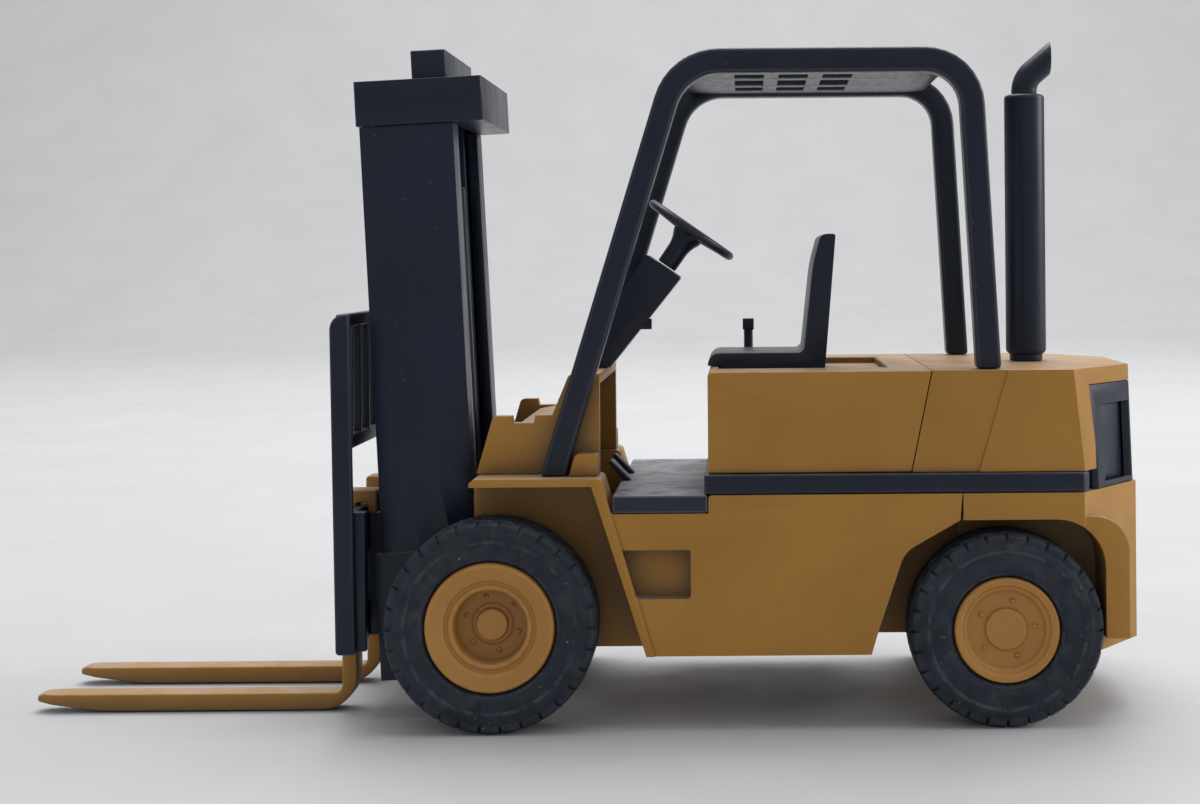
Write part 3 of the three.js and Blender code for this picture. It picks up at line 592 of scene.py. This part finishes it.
def tyre(node, side, wheel):
    """Carcass with a stepped sidewall, and four staggered rows of tread blocks."""
    centre = wheel_centre(node)
    radius, seat, inner, outer = wheel.radius, wheel.seat, wheel.inner, wheel.outer
    base = radius - TREAD_DEPTH
    wall = rounded([
        (seat, inner + 1.2, 0), (seat, inner + 0.5, 0), (seat + 1.0, inner + 0.15, 0.3),
        (base - 0.8, inner + 0.1, 0.5), (base, inner + 1.1, 0.6), (base, outer - 1.1, 0.6),
        (base - 1.0, outer - 0.12, 0.5), (radius * 0.80, outer - 0.02, 0.3),
        (radius * 0.785, outer - 0.22, 0.1), (seat + 1.1, outer - 0.2, 0.4),
        (seat + 0.35, outer - 0.45, 0.25), (seat, outer - 1.0, 0), (seat, inner + 1.2, 0),
    ], closed=False)
    bm = bmesh.new()
    lathe(bm, mirrored(wall, side), centre, segments=120)
    pitch = TURN / wheel.blocks
    width = outer - inner
    shoulder = SHOULDER_SHARE * width
    shoulder_in, shoulder_out = inner + shoulder, outer - shoulder
    # Each row: its two limits, stagger, block length and skew in pitches, and the drop of
    # its two edges.
    rows = (
        (inner + 0.25, shoulder_in, 0.0, 0.84, 0.0, (0.45, 0.0)),
        (shoulder_in + BLOCK_GAP, inner + width * 0.48, 0.5, 0.78, 0.5, (0.0, 0.0)),
        (inner + width * 0.52, shoulder_out - BLOCK_GAP, 0.0, 0.78, -0.5, (0.0, 0.0)),
        (shoulder_out, outer - 0.25, 0.5, 0.84, 0.0, (0.0, 0.45)),
    )
    for y0, y1, stagger, share, skew, drops in rows:
        for i in range(wheel.blocks):
            tread_block(bm, centre, side, (y0, y1), (i + stagger) * pitch, pitch * share,
                        (base - TREAD_ROOT, radius), skew * pitch, drops)
    piece = piece_from(bm, f"{node}_treaded")
    bevel(piece, 0.10, segments=2, angle=50)
    show(piece, node, smooth_angle=40)


def tread_block(bm, centre, side, limits, angle, length, radii, skew, drops):
    """One block on the tread. Skew turns it along its width; drops lower its two edges."""
    rows = []
    for radius in radii:
        for along, drop, end in zip(limits, drops, (0, 1)):
            at = radius - drop
            row = []
            for k in range(BLOCK_STEPS + 1):
                turn = angle + length * (k / BLOCK_STEPS - 0.5) + skew * (end - 0.5)
                offset = Vector((at * math.cos(turn), side * along, at * math.sin(turn)))
                row.append(bm.verts.new((centre + offset) * MM))
            rows.append(row)
    root_in, root_out, top_in, top_out = rows
    for k in range(BLOCK_STEPS):
        bm.faces.new((top_in[k], top_in[k + 1], top_out[k + 1], top_out[k]))
        bm.faces.new((root_in[k], root_out[k], root_out[k + 1], root_in[k + 1]))
        bm.faces.new((root_in[k], root_in[k + 1], top_in[k + 1], top_in[k]))
        bm.faces.new((root_out[k], top_out[k], top_out[k + 1], root_out[k + 1]))
    for k in (0, BLOCK_STEPS):
        bm.faces.new((root_in[k], top_in[k], top_out[k], root_out[k]))


def rim(node, side, wheel):
    """A moulded wheel centre: turned face with a ring of small round lugs."""
    centre = wheel_centre(node)
    bm = bmesh.new()
    face = rounded(wheel.profile, steps=5, closed=False)
    lathe(bm, mirrored(face, side), centre, segments=96)
    radius = wheel.lug_radius
    skirt = (radius * 1.25, wheel.lug_foot - 0.2)
    lug = [skirt, *dome(radius, wheel.lug_foot, radius * 1.1)]
    for i in range(wheel.lugs):
        angle = TURN * i / wheel.lugs + wheel.first_lug
        spot = Vector((math.cos(angle), 0, math.sin(angle))) * wheel.lug_circle
        lathe(bm, mirrored(lug, side), centre + spot, segments=14)
    show(piece_from(bm, f"{node}_turned"), node, smooth_angle=38)


for side, name in SIDES:
    for make, part in ((tyre, "tyre"), (rim, "rim")):
        for end, wheel in WHEELS.items():
            make(f"{end}_{part}_{name}", side, wheel)


# ---------------------------------------------------------------- guard roof

PANEL_THICKNESS = 1.25
PANEL_INSET = 1.0           # how far the panel's ends lie inside the lips
FRONT_LIP, REAR_LIP = 2.8, 2.6
SLOT_START, SLOT_LENGTH, SLOT_PITCH = 20.3, 3.9, 5.9
SLOT_LIMITS = (3.4, 6.2, 10.9)      # half the middle slots, then both ends of those beside
SLOTTED = (1, 3, 5)                 # grid strips that slots lie in, both ways


def guard_roof():
    """Slotted panel between a lip at its front edge and one at its rear edge."""
    node = "guard_roof"
    low, high = box_mm(node)
    under, over = low.z, low.z + PANEL_THICKNESS
    starts = [SLOT_START + SLOT_PITCH * i for i in range(len(SLOTTED))]
    slot_ends = [x for start in starts for x in (start, start + SLOT_LENGTH)]
    xs = [low.x + PANEL_INSET, *slot_ends, high.x - PANEL_INSET]
    ys = [low.y, *(-y for y in reversed(SLOT_LIMITS)), *SLOT_LIMITS, high.y]
    bm = bmesh.new()
    grid = {
        (i, j, z): bm.verts.new(Vector((x, y, z)) * MM)
        for i, x in enumerate(xs) for j, y in enumerate(ys) for z in (under, over)
    }
    solid = {
        (i, j) for i in range(len(xs) - 1) for j in range(len(ys) - 1)
        if not (i in SLOTTED and j in SLOTTED)
    }
    for i, j in solid:
        ring = ((i, j), (i + 1, j), (i + 1, j + 1), (i, j + 1))
        bm.faces.new([grid[(*at, over)] for at in ring])
        bm.faces.new([grid[(*at, under)] for at in reversed(ring)])
        beside = ((i, j - 1), (i + 1, j), (i, j + 1), (i - 1, j))
        for k, other in enumerate(beside):
            if other not in solid:
                a, b = ring[k], ring[(k + 1) % 4]
                bm.faces.new([grid[(*at, z)] for at, z in (
                    (a, under), (b, under), (b, over), (a, over)
                )])
    block(bm, (low.x, low.x + FRONT_LIP), (low.y, high.y), (low.z, high.z))
    block(bm, (high.x - REAR_LIP, high.x), (low.y, high.y), (low.z, high.z))
    piece = piece_from(bm, f"{node}_panel")
    bevel(piece, 0.16, segments=2, angle=50)
    show(piece, node)


guard_roof()


# ---------------------------------------------------------------- load backrest

SIDE_PLATE = 1.05
PLATE_OVERLAP = 0.3         # how far the rails run into the side plates
LOW_RAIL = (35.3, 37.2)
HIGH_RAIL = (-1.8, -0.05)   # from the top
BARS, BAR_PITCH, BAR_HALF = 6, 4.95, 0.5
BAR_FOOT, BAR_HEAD = 36.0, -1.0     # in the two rails


def slab(bm, corners, y0, y1):
    """A flat plate with (x, z, reach) corners, between two y."""
    outline = rounded(corners)
    near, far = (
        [bm.verts.new(Vector((x, y, z)) * MM) for x, z in outline] for y in (y0, y1)
    )
    bm.faces.new(near)
    bm.faces.new(reversed(far))
    for i in range(len(outline)):
        j = (i + 1) % len(outline)
        bm.faces.new((near[j], near[i], far[i], far[j]))


def load_backrest():
    """Two side plates, two rails and the bars between the rails."""
    node = "load_backrest"
    low, high = box_mm(node)
    inner = high.y - SIDE_PLATE
    depth = (low.x + 0.7, low.x + 1.9)
    bm = bmesh.new()
    for side, _ in SIDES:
        y0, y1 = sorted((side * inner, side * high.y))
        slab(bm, [
            (low.x + 0.5, low.z, 0.5), (high.x, low.z, 0.5), (high.x - 0.5, high.z, 0.5),
            (low.x, high.z, 2.0),
        ], y0, y1)
    reach = inner + PLATE_OVERLAP
    block(bm, depth, (-reach, reach), LOW_RAIL)
    block(bm, depth, (-reach, reach), [high.z + z for z in HIGH_RAIL])
    for i in range(BARS):
        y = (i - (BARS - 1) / 2) * BAR_PITCH
        block(bm, depth, (y - BAR_HALF, y + BAR_HALF), (BAR_FOOT, high.z + BAR_HEAD))
    piece = piece_from(bm, f"{node}_welded")
    bevel(piece, 0.28, angle=50)
    show(piece, node)


load_backrest()


# ---------------------------------------------------------------- exhaust

MUFFLER_STEP = 0.5          # how much narrower its foot is
PIPE_RADIUS, PIPE_BORE = 1.75, 1.3
PIPE_FOOT = 0.5             # straight length below the bend
PIPE_BEND = 3.3
PIPE_LEAN = math.radians(50)
BEND_STEPS = 10
BORE_START = 6              # the point of the path where the bore begins
PAST_BEND = (1.5, 3.0, 9.0)         # points on the straight end, the last past the cut


def muffler():
    """Turned canister with a narrower foot."""
    node = "exhaust_muffler"
    low, high = box_mm(node)
    centre = Vector(((low.x + high.x) / 2, 0, 0))
    radius = (high.x - low.x) / 2
    foot = radius - MUFFLER_STEP
    profile = rounded([
        (0.0, low.z, 0), (foot, low.z, 0.12), (foot, low.z + 0.85, 0.1),
        (radius, low.z + 1.2, 0.4), (radius, high.z - 0.25, 0.2),
        (radius - 0.3, high.z, 0.15), (0.0, high.z, 0),
    ], closed=False)
    bm = bmesh.new()
    lathe(bm, profile, centre, segments=64, axis="Z")
    show(piece_from(bm, f"{node}_turned"), node)


def exhaust_tip():
    """Stub pipe that bends back at the top, cut off upright and open at its end."""
    node = "exhaust_tip"
    low, high = box_mm(node)
    x0, bend_z = low.x + PIPE_RADIUS, low.z + PIPE_FOOT
    path = [Vector((x0, 0, low.z)), Vector((x0, 0, bend_z))]
    for k in range(1, BEND_STEPS + 1):
        turn = PIPE_LEAN * k / BEND_STEPS
        path.append(Vector((
            x0 + PIPE_BEND * (1 - math.cos(turn)), 0, bend_z + PIPE_BEND * math.sin(turn)
        )))
    along = Vector((math.sin(PIPE_LEAN), 0, math.cos(PIPE_LEAN)))
    path += [path[-1] + along * reach for reach in PAST_BEND]
    bm = bmesh.new()
    outside = tube(bm, path, PIPE_RADIUS, segments=32)
    inside = tube(bm, path[BORE_START:], PIPE_BORE, segments=32)
    bm.faces.new(outside[0])
    bm.faces.new(inside[0])
    cut = Vector((high.x, 0, 0)) * MM
    bmesh.ops.bisect_plane(
        bm, geom=bm.verts[:] + bm.edges[:] + bm.faces[:], plane_co=cut,
        plane_no=(1, 0, 0), clear_outer=True,
    )
    bmesh.ops.bridge_loops(bm, edges=[edge for edge in bm.edges if edge.is_boundary])
    piece = piece_from(bm, f"{node}_bent")
    bevel(piece, 0.10, segments=2, angle=50)
    show(piece, node)


muffler()
exhaust_tip()


# ---------------------------------------------------------------- steering wheel

RING_RADIUS, GRIP_RADIUS = 6.25, 0.72
GRIP_FLATNESS = 0.85
GRIP_RISE = 0.15            # how far the ring lies above the hub's origin
SPOKES, FIRST_SPOKE = 3, 30
SPOKE_HALF, SPOKE_TAPER, SPOKE_RISE = 0.62, 0.8, 0.3


def steering_wheel():
    """Ring, three dished spokes and a flared hub, round the joint's axis."""
    node = "steering_wheel"
    joint = next(j for j in frame["joints"] if j["child"] == node)
    centre_m = Vector(joint["pos_m"])
    turn = Vector((0, 0, 1)).rotation_difference(Vector(joint["axis"])).to_matrix().to_4x4()
    origin = Vector((0, 0, 0))
    bm = bmesh.new()
    grip = [
        (RING_RADIUS + GRIP_RADIUS * math.cos(a),
         GRIP_RISE + GRIP_RADIUS * GRIP_FLATNESS * math.sin(a))
        for a in (TURN * k / 16 for k in range(17))
    ]
    lathe(bm, grip, origin, segments=72, axis="Z")
    hub = rounded([
        (0.0, -5.85, 0), (1.4, -5.85, 0.1), (1.45, -2.4, 0.9), (2.2, -0.9, 0.4),
        (2.2, -0.35, 0.25), (1.5, 0.1, 0.2), (0.0, 0.15, 0),
    ], closed=False)
    lathe(bm, hub, origin, segments=40, axis="Z")
    for i in range(SPOKES):
        angle = math.radians(FIRST_SPOKE) + TURN * i / SPOKES
        spoke = block(bm, (1.2, RING_RADIUS), (-SPOKE_HALF, SPOKE_HALF), (-0.75, -0.2))
        for vert in spoke:
            if vert.co.x > RING_RADIUS / 2 * MM:
                vert.co.z += SPOKE_RISE * MM
                vert.co.y *= SPOKE_TAPER
        bmesh.ops.rotate(bm, verts=spoke, cent=origin, matrix=Matrix.Rotation(angle, 3, "Z"))
    bmesh.ops.remove_doubles(bm, verts=bm.verts, dist=WELD * MM)
    bm.transform(Matrix.Translation(centre_m) @ turn)
    piece = piece_from(bm, f"{node}_moulded")
    bevel(piece, 0.12, segments=2, angle=50)
    show(piece, node, smooth_angle=40)


steering_wheel()


# ---------------------------------------------------------------- floor, light and camera

# The floor and the lights are in metres.
FLOOR_HALF = 3.0
FLOOR_FRONT = -3.0
SWEEP_START, SWEEP_RADIUS, SWEEP_STEPS = 0.9, 0.7, 16
BACKDROP_TOP = 2.2
FLOOR_GREY = (0.485, 0.485, 0.492)

# Name, place, target, size and watts.
LIGHTS = (
    ("overhead", (0.05, 0.25, 0.85), (0.0, 0.0, 0.0), 0.9, 7.2),
    ("right_side", (0.85, 0.05, 0.35), (0.0, 0.0, 0.04), 0.5, 4.0),
    ("backdrop", (0.0, 0.7, 1.5), (0.0, 1.7, 0.75), 1.4, 16.0),
)
SKY_COLOUR = (0.80, 0.81, 0.83, 1)
SKY_STRENGTH = 0.68

CAMERA_PLACE = Vector((21.5, -240.5, 59.8))
CAMERA_ROLL = 0.008         # the photograph leans by half a degree
CAMERA_LENS, CAMERA_SENSOR = 52.05, 36.0
CAMERA_SHIFT = (-0.1208, -0.1192)


def studio_floor():
    """A level floor that curves up into a backdrop behind the object."""
    line = [(FLOOR_FRONT, 0.0), (SWEEP_START, 0.0)]
    for k in range(1, SWEEP_STEPS + 1):
        angle = math.pi / 2 * k / SWEEP_STEPS
        line.append((
            SWEEP_START + SWEEP_RADIUS * math.sin(angle),
            SWEEP_RADIUS * (1 - math.cos(angle)),
        ))
    line.append((SWEEP_START + SWEEP_RADIUS, BACKDROP_TOP))
    bm = bmesh.new()
    left, right = (
        [bm.verts.new((x, y, z)) for y, z in line] for x in (-FLOOR_HALF, FLOOR_HALF)
    )
    for i in range(len(line) - 1):
        bm.faces.new((left[i], right[i], right[i + 1], left[i + 1]))
    mesh = bpy.data.meshes.new("studio_floor")
    bm.to_mesh(mesh)
    bm.free()
    floor = new_object("studio_floor", mesh)
    mesh.materials.append(paper("studio_floor_look", FLOOR_GREY))
    mesh.shade_smooth()


def area_light(name, place, target, size, watts):
    """A round lamp that faces its target."""
    data = bpy.data.lights.new(name, "AREA")
    data.shape = "DISK"
    data.size = size
    data.energy = watts
    light = new_object(name, data)
    light.location = place
    direction = Vector(target) - Vector(place)
    light.rotation_euler = direction.to_track_quat("-Z", "Y").to_euler()


def sky():
    """Even pale light from all round."""
    world = bpy.data.worlds.new("studio_world")
    world.use_nodes = True
    background = world.node_tree.nodes["Background"]
    background.inputs["Color"].default_value = SKY_COLOUR
    background.inputs["Strength"].default_value = SKY_STRENGTH
    bpy.context.scene.world = world
    bpy.context.scene.view_settings.view_transform = "Standard"


def camera():
    """A level camera at the photograph's viewing angle."""
    data = bpy.data.cameras.new("camera")
    data.lens = CAMERA_LENS
    data.sensor_width = CAMERA_SENSOR
    data.shift_x, data.shift_y = CAMERA_SHIFT
    view = new_object("camera", data)
    view.location = CAMERA_PLACE * MM
    view.rotation_euler = (math.pi / 2, CAMERA_ROLL, 0.0)
    bpy.context.scene.camera = view


studio_floor()
for light in LIGHTS:
    area_light(*light)
sky()
camera()
